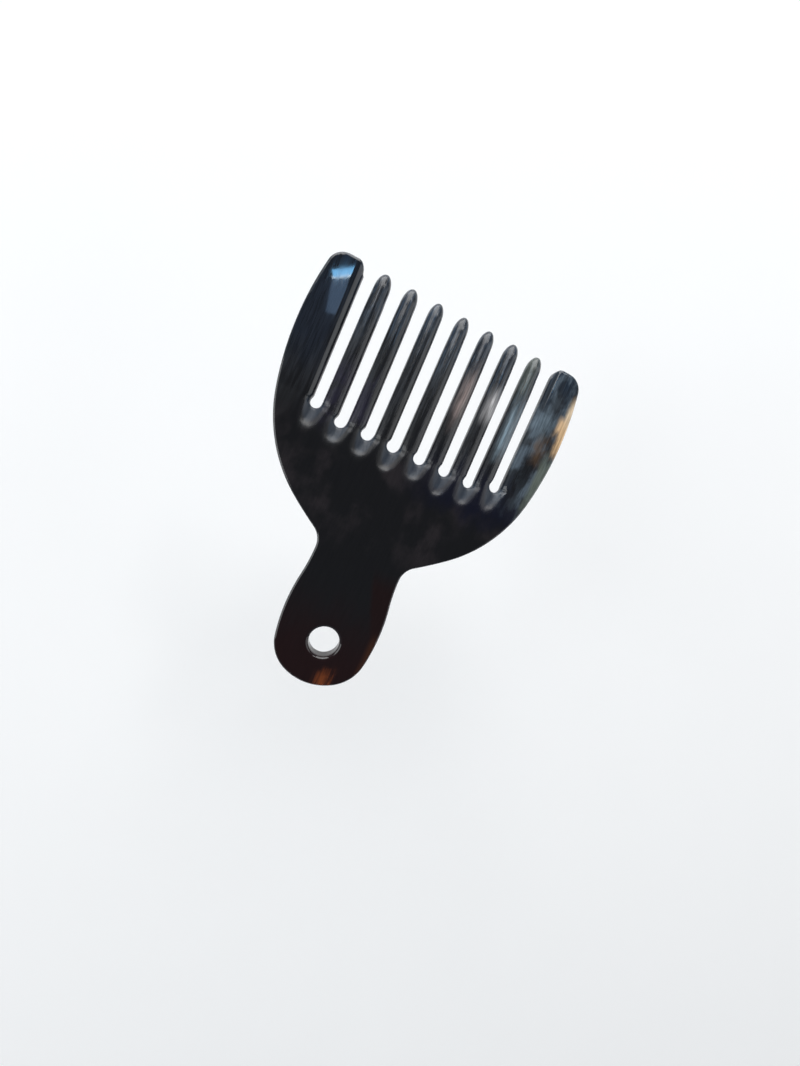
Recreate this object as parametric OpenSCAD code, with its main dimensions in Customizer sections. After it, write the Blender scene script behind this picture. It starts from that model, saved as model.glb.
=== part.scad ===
// Beard comb in polished horn.
// One flat plate: a shield-shaped head with seven thin teeth between two wide
// guard teeth, a short waisted neck and a rounded handle with a hanging hole.
// Units: mm. The back of the plate lies on z = 0, the teeth point along +y,
// and the origin is halfway between the handle's end and the tips.

/* [Plate] */
// Thickness of the plate
thickness = 3.5; // [3:0.1:4.2]

/* [Teeth] */
// Distance from one tooth to the next
pitch = 5.5; // [5.3:0.05:5.6]
// Width of a gap at its root
gap_root = 2.1; // [1.9:0.05:2.3]
// Width of a gap at the tips of the teeth
gap_tip = 2.5; // [2.3:0.05:2.7]
// Diameter of the hole drilled at the root of each gap
root_hole = 2.5; // [2.4:0.05:2.9]
// Distance from the root of the middle gaps to the tips
tooth_length = 29.4; // [27:0.1:31]
// How much shorter the outermost gap on each side is
outer_gap_shorter = 1.4; // [0:0.1:3]
// Length over which the point of a tooth is rounded
point_length = 4; // [3:0.1:5]
// How far the teeth stand above the guard teeth
tips_above = 0.45; // [0:0.05:0.8]

/* [Bevels along the gaps] */
// Width of the bevel beside a gap at its root
bevel_width = 0.95; // [0.6:0.05:1.1]
// Depth of the bevel where it meets the wall of the gap
bevel_depth = 0.85; // [0.5:0.05:1]
// How much deeper the bevels run at the tips
bevel_fall = 0.25; // [0.05:0.05:0.35]
// Length of the scoop that runs out past each root hole
scoop_length = 3.6; // [2.5:0.1:4.5]

/* [Hanging hole] */
// Diameter of the hole through the handle
hole_diameter = 6; // [4:0.5:9]
// Height of its centre above the end of the handle
hole_height = 8.9; // [8:0.1:12]
// Width of the chamfer around its mouths
hole_chamfer = 0.3; // [0.1:0.05:0.5]

/* [Hidden] */
$fn = 64;

// Outline of the right half, from the end of the handle to the inner side of
// the guard tooth, as arcs that run into each other: [radius, angle turned].
// A negative radius is a hollow curve.
outline = [
    [11, 28],      // end of the handle
    [8, 52],       // its corner
    [38, 19.5],    // belly of the handle
    [-36, 9.5],    // into the waist
    [-4, 57],      // throat between the neck and the head
    [80, 5],       // underside of the head
    [28.5, 40],    // shoulder
    [62, 23],      // side of the head and of the guard tooth
    [3.3, 73],     // outer corner of the guard tooth
    [8, 6],        // its top, which rises
    [12, 6],       // and falls again
    [1.3, 54],     // its inner corner, tight at first
    [3.5, 30],
];
function unit(a) = [cos(a), sin(a)];
function heading(n) =
    n == 0 ? 0 : heading(n - 1) + sign(outline[n - 1][0]) * outline[n - 1][1];
// The centre of arc n lies to the left of where the outline is heading.
function centre(n) = start(n) + outline[n][0] * unit(heading(n) + 90);
function start(n) =
    n == 0 ? [0, 0] : centre(n - 1) - outline[n - 1][0] * unit(heading(n) + 90);
// An arc is drawn in short straight steps of at most 5 degrees or 1.5 mm.
function steps(n) =
    ceil(max(outline[n][1] / 5, PI * abs(outline[n][0]) * outline[n][1] / 180 / 1.5));
right_side = concat([
    for (n = [0 : len(outline) - 1], k = [0 : steps(n) - 1])
        let (turned = sign(outline[n][0]) * outline[n][1] * k / steps(n))
            centre(n) - outline[n][0] * unit(heading(n) + turned + 90)
], [start(len(outline))]);

teeth = 7;
gaps = teeth + 1;
over = 1;                          // how far a cutter sticks out of what it cuts
guard_top = start(10)[1];          // height of the guard teeth
top = guard_top + tips_above;      // height of the tooth tips
root = top - tooth_length;         // bottom of the middle gaps
first_gap = -(gaps - 1) / 2 * pitch;
slot_length = tooth_length + 2 * over;

// The bevels of a gap are the two sides of one V-shaped groove.
groove_half = gap_root / 2 + bevel_width;
groove_depth = bevel_depth * groove_half / bevel_width;
// The scoop is a round gouge lying along the groove, its axis off the face. It
// climbs gently and ends round; t runs from the root hole's centre to its end.
scoop_depth = 1.1;
scoop_axis = (groove_half * groove_half - scoop_depth * scoop_depth) / (2 * scoop_depth);
function scoop_fall(t) = scoop_depth * (1 - 0.7 * t) * sqrt(1 - pow(t, 6));

// The plate before the gaps are sawn, its handle starting at y = 0. Between the
// guard teeth it stands a little too high, so that the points of the teeth can
// be ground out of it.
module plate() {
    guard_corner = 3.5;            // height of the guard tooth's rounded inner corner
    tall = [[-first_gap, guard_top - guard_corner], [-first_gap - over, top + over / 2]];
    right = concat(right_side, tall);
    left = [for (i = [len(right) - 1 : -1 : 1]) [-right[i][0], right[i][1]]];
    linear_extrude(thickness) polygon(concat(right, left));
}

// Slot of one gap, widening towards the tips, with its drilled root. The
// bottom of the root is at the origin.
module slot() {
    flare = (gap_tip - gap_root) / 2 * slot_length / tooth_length;
    translate([0, 0, -over]) linear_extrude(thickness + 2 * over) {
        polygon([
            [-gap_root / 2, root_hole / 2], [gap_root / 2, root_hole / 2],
            [gap_root / 2 + flare, slot_length], [-gap_root / 2 - flare, slot_length],
        ]);
        translate([0, root_hole / 2]) circle(d = root_hole);
    }
}

// Groove along a gap on the back face. It gets deeper towards the tips.
module groove() {
    brim = groove_half * (1 + over / groove_depth);
    translate([0, root_hole / 2, 0])
        rotate([atan(bevel_fall / tooth_length), 0, 0])
            translate([0, slot_length, 0]) rotate([90, 0, 0])
                linear_extrude(slot_length + 0.3)
                    polygon([[-brim, -over], [brim, -over], [0, groove_depth]]);
}

// Run-out of the groove below the root of the gap.
module scoop() {
    length = root_hole / 2 + scoop_length;
    gouge = [
        for (t = [0, 0.4, 0.65, 0.8, 0.9, 0.96, 0.99])
            [scoop_axis + scoop_fall(t), t * length]
    ];
    translate([0, root_hole / 2, -scoop_axis]) rotate([90, 0, 0])
        rotate_extrude() polygon(concat([[0, 0]], gouge, [[0, 0.99 * length]]));
}

// What is ground away around the point of a tooth: all but a slender cone
// that ends in half an ellipse. The tip is at the origin.
module around_point() {
    thin = pitch / 2 - gap_tip / 2;
    cone = 6;
    ellipse = [
        for (k = [0 : 8])
            [thin * cos(90 * k / 8), cone + point_length * sin(90 * k / 8)]
    ];
    translate([0, -cone - point_length, 0]) difference() {
        translate([-pitch / 2, 0, -over])
            cube([pitch, cone + point_length + over, thickness + 2 * over]);
        translate([0, 0, thickness / 2]) rotate([-90, 0, 0]) rotate_extrude()
            polygon(concat([[0, -over], [thickness / 2 + 0.1, -over]], ellipse));
    }
}

// Hole through the handle with chamfered mouths.
module hanging_hole() {
    r = hole_diameter / 2;
    wide = r + hole_chamfer + over;
    translate([0, hole_height, 0]) {
        translate([0, 0, -over]) cylinder(h = thickness + 2 * over, r = r);
        translate([0, 0, -over]) cylinder(h = hole_chamfer + over, r1 = wide, r2 = r);
        translate([0, 0, thickness - hole_chamfer])
            cylinder(h = hole_chamfer + over, r1 = r, r2 = wide);
    }
}

module comb() {
    color([0.17, 0.15, 0.15]) translate([0, -top / 2, 0]) difference() {
        plate();
        for (i = [0 : gaps - 1]) {
            shorter = i == 0 || i == gaps - 1 ? outer_gap_shorter : 0;
            translate([first_gap + i * pitch, root + shorter, 0]) {
                slot();
                for (face = [0, 1])
                    translate([0, 0, face * thickness]) mirror([0, 0, face]) {
                        groove();
                        scoop();
                    }
            }
        }
        for (i = [1 : teeth])
            translate([first_gap + (i - 0.5) * pitch, top, 0]) around_point();
        hanging_hole();
    }
}

comb();
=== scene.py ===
"""Looks of the beard comb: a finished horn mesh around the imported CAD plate."""
import math
import bpy
import numpy as np
from mathutils import Matrix, Vector


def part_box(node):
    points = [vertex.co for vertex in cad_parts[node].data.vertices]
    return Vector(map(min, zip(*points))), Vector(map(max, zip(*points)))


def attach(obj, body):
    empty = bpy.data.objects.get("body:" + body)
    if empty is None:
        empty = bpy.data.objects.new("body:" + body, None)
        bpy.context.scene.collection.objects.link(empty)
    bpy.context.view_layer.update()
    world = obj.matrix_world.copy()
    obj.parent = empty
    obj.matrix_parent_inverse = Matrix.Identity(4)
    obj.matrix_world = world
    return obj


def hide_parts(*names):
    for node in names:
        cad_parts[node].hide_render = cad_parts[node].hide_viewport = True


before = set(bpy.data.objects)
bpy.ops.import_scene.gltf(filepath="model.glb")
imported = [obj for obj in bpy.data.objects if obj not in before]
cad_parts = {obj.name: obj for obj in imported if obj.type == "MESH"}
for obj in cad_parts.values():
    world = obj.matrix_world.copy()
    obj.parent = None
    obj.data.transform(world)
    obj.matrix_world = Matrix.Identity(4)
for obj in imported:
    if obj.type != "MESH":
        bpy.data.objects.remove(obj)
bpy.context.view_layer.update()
LOW, HIGH = (np.array(corner) * 1000 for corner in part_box("comb"))  # in mm

# ---------------------------------------------------------------- the comb --
# Shape in mm: x across, y up from the end of the handle, z from the middle of
# the thickness. These measures are the CAD plate's own.
THICK = HIGH[2] - LOW[2]
TOP = HIGH[1] - LOW[1]
# Right half of the outline, from the end of the handle to the highest point of
# the guard tooth, as arcs: radius (negative where hollow) and angle turned.
OUTLINE = [
    (11, 28), (8, 52), (38, 19.5), (-36, 9.5), (-4, 57), (80, 5), (28.5, 40),
    (62, 23), (3.3, 73), (8, 6),
]
GAPS = 8
PITCH = 5.5                      # from one gap to the next
OUTER_GAP = (GAPS - 1) / 2 * PITCH    # x of the outermost gaps
GAP_ROOT = 2.1                   # width of a gap at its root
GAP_TIP = 2.5                    # and at the tips
ROOT_HOLE = 2.5                  # diameter
TOOTH_LENGTH = 29.4
OUTER_SHORTER = 1.4              # how much shorter the outermost gaps are
POINT = 4.0                      # length of a tooth's rounded point
BEVEL_WIDTH = 0.95
BEVEL_DEPTH = 0.85
BEVEL_FALL = 0.25                # how much deeper the bevels are at the tips
SCOOP_LENGTH = 3.6
SCOOP_DEPTH = 1.1
HOLE_RADIUS = 3.0
HOLE_HEIGHT = 8.9

# What follows isn't in the CAD plate: it makes a worn comb, sawn and filed by hand.
EDGE = 0.5                       # rubbed radius of the outer edges
CORNER = (1.5, 1.9)              # width and height of a guard tooth's rounded inner corner
FLARE = 0.34                     # how much a gap widens from root to tips
SLOT_START = 0.5                 # centre of a slot's round end, above the CAD root hole's centre
BORE_WIDER = 0.25                # how much wider a root hole is than its slot
GROOVE_END = 0.6                 # where the bevels end, below the CAD root hole's centre
STRAIGHTENING = 0.7              # share of its shift that a gap has lost at the tips
SCOOP_CLIMB = 0.72               # share of its depth that a scoop loses before its end
SCOOP_END = 12                   # how suddenly it ends
POINT_SPARE = 0.06               # how far a point starts outside the side of its tooth
POINT_POWER = 2.3                # how blunt it is
CONE = (0.062, 0.01)             # how fast the cone below it opens out, and how much faster yet
# Over how many mm two cuts are rubbed into each other:
ROOT_SOFT = 0.35
END_SOFT = 0.8
SCOOP_SOFT = 0.6
SLOT_SOFT = 0.5
POINT_SOFT = 0.25
HOLE_SOFT = 0.9
TEETH_SOFT = 0.75                # between the bevels and the face, on the teeth
GUARD_SOFT = 0.4                 # and on the guard teeth
TEETH_END = 18.8                 # x where the one starts to pass into the other
GUARD_START = 19.7               # and where it has
# No two gaps are quite alike. By how much they differ from the CAD plate's, from
# left to right, places sideways:
WIDER = np.array([-0.20, -0.15, -0.05, 0.0, 0.0, -0.10, -0.20, -0.05])    # width of the slot
SHIFT = np.array([0.10, 0.20, 0.25, 0.15, 0.25, 0.25, 0.15, 0.15])        # place of its root
WANDER = np.array([-0.10, -0.10, -0.10, -0.15, 0.05, 0.05, 0.05, 0.0])    # place of the root hole
LEAN = np.array([-0.35, -0.30, -0.40, -0.40, -0.15, -0.10, -0.30, -0.20])  # tip of the scoop
REACH = np.array([-0.1, -0.9, -0.7, 0.0, -0.7, 0.2, -0.3, 0.0])           # length of the scoop

# Distances that never decide where the surface is:
FAR_OUT = 99.0
FAR_IN = -9.0


def arcs():
    """Centre, radius, bulge (1 outwards, -1 inwards) and range of normal angles
    of each arc of the outline, and the point where the last one ends."""
    found = []
    point = np.zeros(2)
    heading = 0.0
    for radius, turn in OUTLINE:
        left = math.radians(heading + 90)
        centre = point + radius * np.array([math.cos(left), math.sin(left)])
        bulge = 1 if radius > 0 else -1
        end = heading + bulge * turn
        left = math.radians(end + 90)
        point = centre - radius * np.array([math.cos(left), math.sin(left)])
        low, high = sorted((heading - 90 * bulge, end - 90 * bulge))
        found.append((centre, abs(radius), bulge, low, high))
        heading = end
    return found, point


ARCS, CREST = arcs()             # the crest is the highest point of the guard tooth


def smooth_max(a, b, k):
    """The larger of two distances, with the edge between them rounded over k."""
    h = np.maximum(k - np.abs(a - b), 0.0) / k
    return np.maximum(a, b) + h * h * k * 0.25


def outline_distance(x, y):
    """Signed distance to the comb's outline without its gaps, negative inside.
    Between the guard teeth it stands too high, so that the points can be cut."""
    spare = 0.5
    x = np.abs(x)
    level = np.where(x < OUTER_GAP, TOP + spare, CREST[1])
    best = np.where(x < CREST[0], y - level, FAR_OUT)
    for centre, radius, bulge, low, high in ARCS:
        dx = x - centre[0]
        dy = y - centre[1]
        angle = np.degrees(np.arctan2(dy, dx))
        inside = (angle >= low) & (angle <= high)
        if high > 180:
            inside |= angle + 360 <= high
        away = bulge * (np.hypot(dx, dy) - radius)
        best = np.where(inside & (np.abs(away) < np.abs(best)), away, best)
    return best


def plate_distance(x, y, z):
    """The plate with its rubbed outer edges, before anything is cut from it."""
    wall = OUTER_GAP + GAP_TIP / 2
    dx = (wall + CORNER[0] - np.abs(x)) / CORNER[0]
    dy = (y - CREST[1] + CORNER[1]) / CORNER[1]
    corner = (np.hypot(dx, dy) - 1) * (CORNER[0] + CORNER[1]) / 2
    corner = np.where((dx > 0) & (dy > 0) & (np.abs(x) >= OUTER_GAP), corner, FAR_IN)
    a = np.maximum(outline_distance(x, y), corner) + EDGE
    b = z - THICK / 2 + EDGE
    return np.hypot(np.maximum(a, 0), np.maximum(b, 0)) + np.minimum(np.maximum(a, b), 0) - EDGE


def gap_distances(x, y, z):
    """The two cuts of the nearest gap: its slot and root hole, and its bevels and scoop."""
    half = THICK / 2
    i = np.clip(np.rint(x / PITCH + (GAPS - 1) / 2), 0, GAPS - 1).astype(int)
    gx = x - (i - (GAPS - 1) / 2) * PITCH
    root = TOP - TOOTH_LENGTH + np.where((i == 0) | (i == GAPS - 1), OUTER_SHORTER, 0.0)
    up = y - root
    centre = up - ROOT_HOLE / 2
    along = np.maximum(up / TOOTH_LENGTH, 0)
    sx = gx - SHIFT[i] * (1 - STRAIGHTENING * along)
    wide = GAP_ROOT + WIDER[i]
    side = np.abs(sx) - (wide + FLARE * along) / 2
    above = centre - SLOT_START
    slot = np.where(above > 0, side, np.hypot(side + wide / 2, above) - wide / 2)
    bore = wide + BORE_WIDER
    bored = np.hypot(gx - WANDER[i], up - bore / 2) - bore / 2
    slot = -smooth_max(-slot, -bored, ROOT_SOFT)

    # the bevels are the two sides of a V-shaped groove in either face
    brim = GAP_ROOT / 2 + BEVEL_WIDTH
    deep = BEVEL_DEPTH * brim / BEVEL_WIDTH
    slope = BEVEL_DEPTH / BEVEL_WIDTH
    floor = half - (deep + BEVEL_FALL * along - slope * np.abs(sx))
    groove = (floor - z) / math.hypot(1, slope)
    groove = smooth_max(groove, -centre - GROOVE_END, END_SOFT)

    # the scoop is a round gouge that climbs out of the face below the root
    steepness = 0.85             # keeps the field from growing faster than a distance
    fade_up = 5                  # how fast the scoop is gone above the root
    fade_down = 3                # and past its end
    lean_end = 1.3               # where it stops leaning, in lengths
    axis = (brim ** 2 - SCOOP_DEPTH ** 2) / (2 * SCOOP_DEPTH)
    length = ROOT_HOLE / 2 + SCOOP_LENGTH + REACH[i]
    down = -centre / length
    t = np.clip(down, 0, 1)
    climb = (1 - SCOOP_CLIMB * t) * (1 - t ** SCOOP_END) - fade_down * np.maximum(down - 1, 0)
    radius = axis + SCOOP_DEPTH * np.where(down > 0, climb, 1 + fade_up * down)
    middle = SHIFT[i] * (1 - t) + LEAN[i] * np.clip(down, 0, lean_end)
    scoop = (np.hypot(gx - middle, z - half - axis) - radius) * steepness
    return slot, -smooth_max(-groove, -scoop, SCOOP_SOFT)


def point_distance(x, y, z):
    """The point of the nearest tooth, and the cone below it that opens out and
    leaves the rest of the tooth alone."""
    side_teeth = GAPS // 2 - 1
    j = np.clip(np.rint(x / PITCH), -side_teeth, side_teeth)
    left = (j + side_teeth).astype(int)
    right = left + 1
    moved = (1 - STRAIGHTENING) / 2 * (SHIFT[left] + SHIFT[right])
    tx = x - j * PITCH - moved - (WIDER[left] - WIDER[right]) / 4
    thin = (PITCH - GAP_TIP) / 2 - (WIDER[left] + WIDER[right]) / 4 + POINT_SPARE
    start = TOP - POINT
    past = np.maximum(y - start, 0) / POINT
    before = np.maximum(start - y, 0)
    radius = thin + before * (CONE[0] + CONE[1] * before)
    reach = np.sqrt((tx / radius) ** 2 + (z / radius) ** 2 + past ** POINT_POWER)
    return np.where(np.abs(x) > OUTER_GAP, FAR_IN, (reach - 1) * thin)


def comb_distance(p):
    """Roughly the signed distance in mm from points to the comb's surface."""
    x = p[..., 0]
    y = p[..., 1]
    z = np.abs(p[..., 2])
    slot, bevels = gap_distances(x, y, z)
    worn = np.interp(np.abs(x), (TEETH_END, GUARD_START), (TEETH_SOFT, GUARD_SOFT))
    solid = smooth_max(plate_distance(x, y, z), -bevels, worn)
    solid = smooth_max(solid, -slot, SLOT_SOFT)
    solid = smooth_max(solid, point_distance(x, y, z), POINT_SOFT)
    hole = np.hypot(x, y - HOLE_HEIGHT) - HOLE_RADIUS
    return smooth_max(solid, -hole, HOLE_SOFT)


def gradient(p, step=0.01):
    """How the distance changes along x, y and z."""
    out = np.empty_like(p)
    for axis in range(3):
        shift = np.zeros(3)
        shift[axis] = step
        out[:, axis] = (comb_distance(p + shift) - comb_distance(p - shift)) / (2 * step)
    return out


def wrap(cell):
    """Closed quad mesh of the comb: one point per grid cell that the surface crosses."""
    pad = 3.37 * cell            # keeps the flat faces off the planes of the grid
    low = np.array([LOW[0], 0.0, -THICK / 2]) - pad
    high = np.array([HIGH[0], TOP, THICK / 2]) + pad
    axes = [np.arange(low[k], high[k], cell[k]) for k in range(3)]
    grid = np.stack(np.meshgrid(*axes, indexing="ij"), axis=-1)
    field = comb_distance(grid)
    n = np.array(field.shape) - 1

    # the point of a cell is the mean of the places where its edges are crossed
    total = np.zeros((*n, 3))
    count = np.zeros(n)
    for axis in range(3):
        others = [k for k in range(3) if k != axis]
        for da, db in ((0, 0), (0, 1), (1, 0), (1, 1)):
            start = [0, 0, 0]
            start[others[0]] = da
            start[others[1]] = db
            end = list(start)
            end[axis] = 1
            fa = field[tuple(slice(s, s + m) for s, m in zip(start, n))]
            fb = field[tuple(slice(s, s + m) for s, m in zip(end, n))]
            crossed = (fa < 0) != (fb < 0)
            t = np.where(crossed, fa / np.where(crossed, fa - fb, 1.0), 0.0)
            for k in range(3):
                at = t if k == axis else start[k]
                total[..., k] += np.where(crossed, at, 0.0)
            count += crossed
    used = count > 0
    number = np.full(n, -1)
    number[used] = np.arange(used.sum())
    corner = grid[tuple(slice(0, m) for m in n)]
    points = corner[used] + total[used] / count[used][:, None] * cell

    # each crossed edge gets a quad between the points of the four cells around it
    quads = []
    for axis in range(3):
        a, b = [k for k in range(3) if k != axis]
        if axis == 1:
            a, b = b, a
        low_end = [slice(1, m) for m in n]
        low_end[axis] = slice(0, n[axis])
        high_end = list(low_end)
        high_end[axis] = slice(1, n[axis] + 1)
        fa = field[tuple(low_end)]
        fb = field[tuple(high_end)]
        for leaving, mask in ((True, (fa < 0) & (fb >= 0)), (False, (fa >= 0) & (fb < 0))):
            cells = np.argwhere(mask) + 1
            cells[:, axis] -= 1
            corners = []
            for da, db in ((0, 0), (1, 0), (1, 1), (0, 1)):
                c = cells.copy()
                c[:, a] -= 1 - da
                c[:, b] -= 1 - db
                corners.append(number[c[:, 0], c[:, 1], c[:, 2]])
            corners = corners if leaving else corners[::-1]
            quads.append(np.stack(corners, axis=1))
    return points, np.concatenate(quads)


def make_comb():
    """The comb's mesh, its points drawn onto the surface and shaded by its slope."""
    cell = np.array([0.2, 0.42, 0.2])
    passes = 4
    longest_step = 0.1
    flattest = 0.05
    points, quads = wrap(cell)
    for _ in range(passes):
        g = gradient(points)
        size = np.maximum((g * g).sum(axis=1), flattest)
        step = comb_distance(points)[:, None] * g / size[:, None]
        points -= np.clip(step, -longest_step, longest_step)
    normals = gradient(points)
    normals /= np.linalg.norm(normals, axis=1)[:, None]
    place = np.array([(LOW[0] + HIGH[0]) / 2, LOW[1], (LOW[2] + HIGH[2]) / 2])
    mesh = bpy.data.meshes.new("horn_comb")
    mesh.from_pydata(((points + place) / 1000).tolist(), [], quads.tolist())
    mesh.validate()
    mesh.shade_smooth()
    mesh.normals_split_custom_set_from_vertices(normals.tolist())
    comb = bpy.data.objects.new("horn_comb", mesh)
    bpy.context.scene.collection.objects.link(comb)
    return comb


comb = make_comb()

# ------------------------------------------------------------- its material --
class Nodes:
    """Small helper that strings shader nodes together by value."""

    def __init__(self, name):
        self.material = bpy.data.materials.new(name)
        self.material.use_nodes = True
        self.tree = self.material.node_tree
        self.bsdf = self.tree.nodes["Principled BSDF"]
        self.colour = None       # what has been painted so far

    def add(self, kind, inputs, **settings):
        node = self.tree.nodes.new(kind)
        for key, value in settings.items():
            setattr(node, key, value)
        for key, value in inputs.items():
            self.set(node.inputs[key], value)
        return node

    def set(self, socket, value):
        if isinstance(value, bpy.types.NodeSocket):
            self.tree.links.new(value, socket)
        else:
            socket.default_value = value

    def math(self, operation, a, b=0.0):
        return self.add("ShaderNodeMath", {0: a, 1: b}, operation=operation).outputs[0]

    def vector(self, operation, a, b):
        node = self.add("ShaderNodeVectorMath", {0: a, 1: b}, operation=operation)
        return node.outputs[0]

    def plus(self, a, b):
        return self.math("ADD", a, b)

    def minus(self, a, b):
        return self.math("SUBTRACT", a, b)

    def times(self, *values):
        total = values[0]
        for value in values[1:]:
            total = self.math("MULTIPLY", total, value)
        return total

    def ramp(self, value, low, high, to_low=0.0, to_high=1.0):
        node = self.add("ShaderNodeMapRange", {
            "Value": value, "From Min": low, "From Max": high,
            "To Min": to_low, "To Max": to_high}, interpolation_type="SMOOTHSTEP")
        return node.outputs[0]

    def band(self, value, low, high, soft):
        """1 between low and high, fading to 0 over soft on either side."""
        return self.times(self.ramp(value, low - soft, low + soft),
                          self.ramp(value, high - soft, high + soft, 1.0, 0.0))

    def mix(self, amount, a, b):
        node = self.add("ShaderNodeMix", {0: amount}, data_type="RGBA")
        for socket, colour in ((node.inputs[6], a), (node.inputs[7], b)):
            self.set(socket, colour if isinstance(colour, bpy.types.NodeSocket) else (*colour, 1))
        return node.outputs[2]

    def paint(self, colour, *amounts):
        """Lay a colour over the rest, as strongly as the product of the amounts."""
        self.colour = self.mix(self.times(*amounts), self.colour, colour)

    def millimetres(self):
        """Object coordinates in mm, in the axes of the comb's shape above."""
        place = self.add("ShaderNodeTexCoord", {}).outputs["Object"]
        scaled = self.vector("MULTIPLY", place, (1000, 1000, 1000))
        return self.vector("ADD", scaled, (0.0, float(-LOW[1]), float(-THICK / 2)))

    def noise(self, vector, scale, detail=3.0, rough=0.5):
        """Noise around 0.5, finer along the axes with a bigger scale per mm."""
        scaled = self.vector("MULTIPLY", vector, scale)
        return self.add("ShaderNodeTexNoise", {
            "Vector": scaled, "Scale": 1.0, "Detail": detail, "Roughness": rough}).outputs[0]


# head and neck
BLACK = (0.0080, 0.0080, 0.0092)
WARM = (0.0125, 0.0055, 0.0060)
SMOKE = (0.0200, 0.0170, 0.0190)
NAVY = (0.0060, 0.0065, 0.0140)
# teeth, scoops and left guard
STEEL = (0.024, 0.026, 0.030)
# blue of the tips: partly the horn's tone, partly a painted reflection of the sky
TIP_TONE_AND_SHEEN = (0.011, 0.020, 0.036)
# painted highlight: the pale streaks near the tips
PAINTED_GLINT = (0.060, 0.095, 0.140)
DUSK = (0.020, 0.018, 0.032)
# painted reflection of the sky in the scoops
SCOOP_REFLECTION = (0.010, 0.020, 0.036)
SLATE = (0.0120, 0.0160, 0.0250)
# patches on the right
BROWN = (0.370, 0.290, 0.268)
SILVER = (0.670, 0.650, 0.650)
SKY = (0.220, 0.293, 0.345)
SAGE = (0.110, 0.128, 0.107)
TEAL = (0.090, 0.116, 0.143)
UMBER = (0.100, 0.058, 0.030)
CREAM = (0.740, 0.570, 0.385)
HONEY = (0.640, 0.425, 0.235)
# handle: its red, amber and rust are painted glow, the light let through the horn
OXBLOOD_GLOW = (0.0120, 0.0055, 0.0055)
RUST_GLOW = (0.060, 0.022, 0.010)
AMBER_GLOW = (0.175, 0.045, 0.014)

ROOTS = 49.4                     # y of the centres of the root holes of the inner gaps
SCOOP_SLANT = 0.06               # how far a scoop's colour leans per mm
SCOOP_OVAL = (1.9, 4.6)          # half width and length of its coloured oval
POLISH = (0.03, 0.06)            # roughness of the head and the handle
TEETH_ROUGHER = 0.13
SCOOPS_ROUGHER = 0.20
FIBRE_HEIGHT = 0.00012           # in m, of the relief between the guard teeth
HORN_IOR = 1.54


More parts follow.
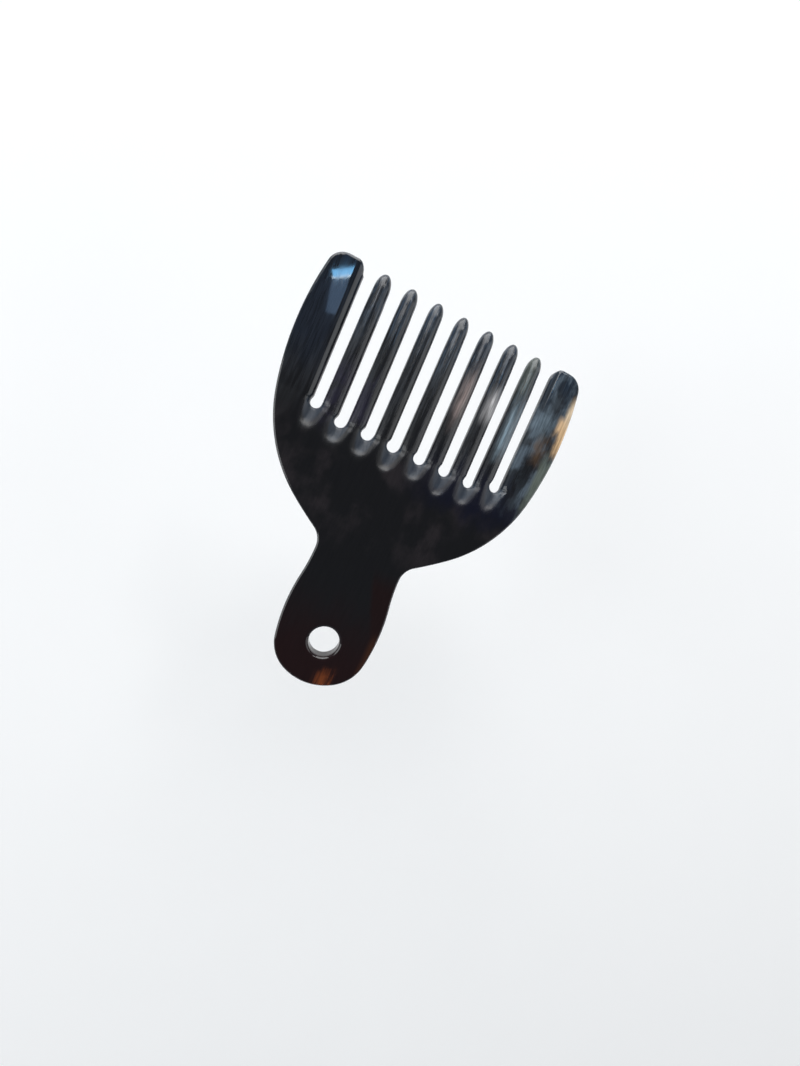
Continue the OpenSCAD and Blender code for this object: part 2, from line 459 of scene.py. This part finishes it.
def horn_material():
    """Dark horn. Its ramps and bands give places in mm: x from the middle of the
    comb, y from the end of the handle. A last number alone is a strength."""
    n = Nodes("horn")
    mm = n.millimetres()
    axes = n.add("ShaderNodeSeparateXYZ", {0: mm}).outputs
    x = axes[0]
    y = axes[1]
    cloud = n.noise(mm, (0.14, 0.11, 0.2), 4.0)
    fibre = n.noise(mm, (1.5, 0.10, 0.6), 5.0, 0.6)
    hair = n.noise(mm, (4.0, 0.22, 1.0), 3.0, 0.6)
    drift = n.noise(mm, (0.35, 0.16, 0.3), 4.0, 0.6)
    wave = n.times(n.minus(drift, 0.5), 6.0)       # mm that the edges of patches wander
    xw = n.plus(x, wave)
    yw = n.plus(y, n.times(wave, 1.4))

    # black, warmer in the handle, smoky in the head and navy at its upper right
    n.colour = n.mix(n.ramp(yw, 22.0, 4.0), BLACK, WARM)
    n.paint(SMOKE, n.ramp(cloud, 0.47, 0.66), n.band(yw, 30.0, 47.0, 4.0))
    n.paint(NAVY, n.band(yw, 43.0, 52.0, 3.0), n.ramp(x, -2.0, 12.0))

    # the teeth turn blue-grey towards their tips, the blue partly their own tone and partly a painted
    # reflection of the sky; pale streaks near the tips are painted highlights; those on the left are
    # dusky near their roots
    streak = n.ramp(fibre, 0.35, 0.68)
    n.paint(STEEL, n.ramp(y, 45.0, 60.0), n.ramp(streak, 0.0, 1.0, 0.15, 1.0))
    # partly painted reflection: the sky's blue in the rounded tips
    n.paint(TIP_TONE_AND_SHEEN, n.ramp(yw, 62.0, 78.0), n.ramp(streak, 0.0, 1.0, 0.35, 1.0))
    # painted highlights: pale glinting streaks near the tips
    n.paint(PAINTED_GLINT, n.ramp(hair, 0.50, 0.66), n.ramp(yw, 61.0, 70.0), n.band(x, -20.2, 20.2, 0.6), 0.32)
    leftmost = n.band(x, -20.2, -6.5, 1.5)
    n.paint(DUSK, n.ramp(drift, 0.42, 0.60), n.band(yw, 49.0, 60.0, 3.0), leftmost, 0.8)

    # painted reflection: the scoops below the roots are painted bluer, for the sky mirrored in them
    outer = n.ramp(n.math("ABSOLUTE", x), 16.4, 16.6, 0.0, OUTER_SHORTER)
    fall = n.minus(ROOTS, n.minus(y, outer))       # mm below the centre of the root hole
    leaning = n.plus(x, n.times(n.math("MAXIMUM", fall, 0.0), SCOOP_SLANT))
    aside = n.minus(PITCH / 2, n.math("PINGPONG", leaning, PITCH / 2))
    across = n.math("POWER", n.times(aside, 1 / SCOOP_OVAL[0]), 2.0)
    oval = n.plus(across, n.math("POWER", n.times(fall, 1 / SCOOP_OVAL[1]), 2.0))
    below = n.ramp(fall, -1.5, 0.5)
    n.paint(SCOOP_REFLECTION, n.ramp(oval, 1.05, 0.55), below, n.band(x, -21.4, 21.4, 0.5), 0.8)

    # pale patches in the three teeth nearest the right guard
    grained = n.ramp(streak, 0.0, 1.0, 0.4, 1.0)
    n.paint(BROWN, n.band(x, 4.9, 6.9, 0.9), n.band(yw, 59.0, 68.0, 3.5), grained, 0.75)
    n.paint(SILVER, n.band(x, 10.4, 12.6, 0.7), n.band(y, 62.0, 67.0, 2.6), grained, 0.85)
    n.paint(SKY, n.band(x, 15.6, 18.0, 0.8), n.band(yw, 57.0, 67.0, 3.5), grained, 0.95)
    n.paint(SAGE, n.band(x, 14.6, 17.0, 0.9), n.ramp(yw, 66.0, 74.0), 0.5)

    # slate on the left guard
    n.paint(SLATE, n.ramp(xw, -19.5, -23.5), n.band(yw, 57.0, 72.0, 4.0), 0.8)

    # the marbled right guard: blue-grey above, dark brown within, green-grey and cream at its rim
    guard = n.times(n.ramp(x, 19.0, 21.0), n.ramp(yw, 44.0, 54.0))
    swirl = n.noise(mm, (0.42, 0.20, 0.3), 3.0, 0.5)
    n.paint(TEAL, guard, n.ramp(swirl, 0.42, 0.60, 0.12, 1.0), 0.85)
    n.paint(BLACK, guard, n.band(xw, 21.6, 24.4, 0.8), n.ramp(yw, 60.5, 57.0), 0.92)
    n.paint(UMBER, guard, n.band(xw, 22.8, 25.0, 0.9), n.band(yw, 57.5, 63.5, 2.0), 0.65)
    n.paint(STEEL, guard, n.band(xw, 22.6, 25.4, 0.8), n.band(yw, 68.0, 73.0, 1.8), 0.7)
    n.paint(SKY, guard, n.band(xw, 21.2, 24.2, 0.9), n.band(yw, 63.5, 68.0, 1.8), 0.25)
    rim = n.plus(x, n.times(wave, 0.3))
    n.paint(SAGE, guard, n.ramp(rim, 24.9, 26.1), n.ramp(yw, 61.5, 57.5), 0.88)
    honey = n.mix(n.ramp(yw, 71.0, 63.0), CREAM, HONEY)
    n.paint(honey, n.ramp(rim, 25.8, 27.0), n.band(yw, 61.5, 73.0, 1.8), 0.92)
    n.paint(HONEY, n.ramp(rim, 24.7, 25.8), n.band(yw, 64.5, 68.0, 1.2), 0.8)

    # painted glow: the red and amber light that the handle lets through along its right side and end
    # is painted into its colour
    slant = n.plus(n.plus(x, n.times(y, 0.36)), n.times(wave, 0.25))
    n.paint(OXBLOOD_GLOW, n.ramp(slant, 12.0, 13.2), n.ramp(y, 27.0, 22.0), 0.9)
    end = n.times(n.band(n.plus(x, n.times(wave, 0.4)), 1.2, 4.8, 1.1), n.ramp(yw, 5.0, 0.8))
    n.paint(AMBER_GLOW, end, n.ramp(fibre, 0.36, 0.62, 0.15, 1.0))
    # painted glow: rust-red light through the lower right of the handle
    n.paint(RUST_GLOW, n.ramp(n.plus(x, n.times(wave, 0.2)), 7.6, 9.0), n.band(y, 3.0, 13.0, 2.0), 0.5)

    # fine streaks, strongest on the teeth
    depth = n.ramp(y, 45.0, 60.0, 0.08, 0.28)
    shade = n.plus(1.0, n.times(n.ramp(hair, 0.3, 0.7, -1.0, 1.0), depth))
    scaled = n.add("ShaderNodeVectorMath", {0: n.colour, "Scale": shade}, operation="SCALE")
    n.set(n.bsdf.inputs["Base Color"], scaled.outputs[0])

    # between the guard teeth the horn is less polished and its fibres stand out
    between = n.times(n.band(x, -20.6, 20.6, 0.6), n.ramp(y, 43.5, 46.0))
    rough = n.plus(n.ramp(fibre, 0.3, 0.7, *POLISH), n.times(between, TEETH_ROUGHER))
    rough = n.plus(rough, n.times(n.ramp(oval, 2.4, 1.2), below, SCOOPS_ROUGHER))
    n.set(n.bsdf.inputs["Roughness"], rough)
    relief = {"Height": fibre, "Strength": between, "Distance": FIBRE_HEIGHT}
    n.set(n.bsdf.inputs["Normal"], n.add("ShaderNodeBump", relief).outputs[0])
    n.bsdf.inputs["IOR"].default_value = HORN_IOR
    return n.material


comb.data.materials.append(horn_material())

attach(comb, "root")
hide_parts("comb")

# --------------------------------------------------------------- the camera --
# Its place, its turn and its lens come from fitting the comb's outline to the
# photograph's.
EYE = (-7.958, 37.718, 78.713)   # mm, in the axes of the comb's shape above
IMAGE_RIGHT = (0.90419, 0.40481, 0.13627)
IMAGE_DOWN = (0.39330, -0.91351, 0.10403)

camera_data = bpy.data.cameras.new("camera")
camera_data.sensor_width = 36
camera_data.lens = 13.51
camera_data.clip_start = 0.005
camera = bpy.data.objects.new("camera", camera_data)
bpy.context.scene.collection.objects.link(camera)
right = Vector(IMAGE_RIGHT)
back = right.cross(-Vector(IMAGE_DOWN)).normalized()
up = back.cross(right).normalized()
eye = Vector((EYE[0], EYE[1] + LOW[1], EYE[2] + THICK / 2))
turned = Matrix((right, up, back)).transposed().to_4x4()
camera.matrix_world = Matrix.Translation(eye / 1000) @ turned
bpy.context.scene.camera = camera

# -------------------------------------------------------- floor and lighting --
FLOOR_HEIGHT = -0.095            # in m; the comb is held up above it
FLOOR_HALF = 3                   # half its width in m
FLOOR_GLOW = 0.10                # keeps it near white where less light falls on it


def make_floor():
    s = FLOOR_HALF
    z = FLOOR_HEIGHT
    mesh = bpy.data.meshes.new("floor")
    mesh.from_pydata([(-s, -s, z), (s, -s, z), (s, s, z), (-s, s, z)], [], [(0, 1, 2, 3)])
    floor = bpy.data.objects.new("floor", mesh)
    bpy.context.scene.collection.objects.link(floor)
    return floor


def paper_material():
    n = Nodes("paper")
    grain = n.noise(n.millimetres(), (0.02, 0.02, 0.02), 2.0)
    n.set(n.bsdf.inputs["Base Color"], n.mix(grain, (0.86, 0.86, 0.86), (0.88, 0.88, 0.88)))
    n.bsdf.inputs["Roughness"].default_value = 0.9
    n.bsdf.inputs["Specular IOR Level"].default_value = 0.0
    n.bsdf.inputs["Emission Color"].default_value = (1, 1, 1, 1)
    n.bsdf.inputs["Emission Strength"].default_value = FLOOR_GLOW
    return n.material


floor = make_floor()
floor.data.materials.append(paper_material())


def area_light(name, size, radiance, colour, matrix):
    """Rectangular light, its size in m, that shines along its own -z."""
    data = bpy.data.lights.new(name, "AREA")
    data.shape = "RECTANGLE"
    data.size = size[0]
    data.size_y = size[1]
    data.energy = radiance * math.pi * size[0] * size[1]
    data.color = colour
    light = bpy.data.objects.new(name, data)
    bpy.context.scene.collection.objects.link(light)
    light.matrix_world = matrix


def softbox(name, direction, distance, size, radiance, colour=(1, 1, 1)):
    """Light that looks at the comb from a direction."""
    away = Vector(direction).normalized()
    turn = away.to_track_quat("Z", "Y").to_matrix().to_4x4()
    area_light(name, size, radiance, colour, Matrix.Translation(away * distance) @ turn)


softbox("key_light", (-0.25, 0.80, 0.48), 2.0, (2.0, 2.0), 4.1)
softbox("glint_light", (0.30, 0.62, 0.72), 1.5, (0.22, 0.22), 9.0)
softbox("right_light", (0.94, 0.14, 0.32), 1.5, (1.6, 1.5), 1.05)
softbox("left_light", (-0.90, -0.25, 0.48), 1.5, (1.2, 1.2), 2.6, (0.97, 0.99, 1.0))

CARD_HEIGHT = 300                # mm above the comb's face


def mirrored_card(name, spot, size, turn, radiance, colour):
    """Light that the camera sees mirrored in the comb's face, centred on a spot
    there and with a size there, both in mm, y from the end of the handle."""
    face = Vector((spot[0], spot[1] + LOW[1], HIGH[2]))
    reach = CARD_HEIGHT / (eye.z - face.z)
    at = face + Vector(((face.x - eye.x) * reach, (face.y - eye.y) * reach, CARD_HEIGHT))
    size = [side * (1 + reach) / 1000 for side in size]
    matrix = Matrix.Translation(at / 1000) @ Matrix.Rotation(math.radians(turn), 4, "Z")
    area_light(name, size, radiance, colour, matrix)


# the window in the left guard tooth: bright sky, the sill below it and a dim wall
mirrored_card("window_sky", (-23.4, 73.6), (4.4, 1.3), 35, 17.0, (0.22, 0.58, 1.0))
mirrored_card("window_sill", (-23.5, 72.7), (3.6, 0.3), 33, 26.0, (0.80, 0.92, 1.0))
mirrored_card("window_wall", (-23.0, 69.6), (3.0, 7.2), 12, 2.1, (0.38, 0.62, 1.0))

# The world's own light gets weaker from just above the horizon up. The heights
# are those of a direction: 0 is level and 1 straight up.
LOW_SKY = 0.05
LOW_SKY_LIGHT = 0.55
HIGH_SKY = 0.75
HIGH_SKY_LIGHT = 0.07
WORLD_COLOUR = (0.80, 0.90, 1.0, 1)

world = bpy.data.worlds.new("world")
world.use_nodes = True
tree = world.node_tree
way = tree.nodes.new("ShaderNodeTexCoord").outputs["Generated"]
height = tree.nodes.new("ShaderNodeSeparateXYZ")
tree.links.new(way, height.inputs[0])
sky = tree.nodes.new("ShaderNodeMapRange")
sky.inputs["From Min"].default_value = LOW_SKY
sky.inputs["From Max"].default_value = HIGH_SKY
sky.inputs["To Min"].default_value = LOW_SKY_LIGHT
sky.inputs["To Max"].default_value = HIGH_SKY_LIGHT
tree.links.new(height.outputs[2], sky.inputs["Value"])
tree.nodes["Background"].inputs["Color"].default_value = WORLD_COLOUR
tree.links.new(sky.outputs[0], tree.nodes["Background"].inputs["Strength"])
bpy.context.scene.world = world
bpy.context.scene.view_settings.view_transform = "Standard"
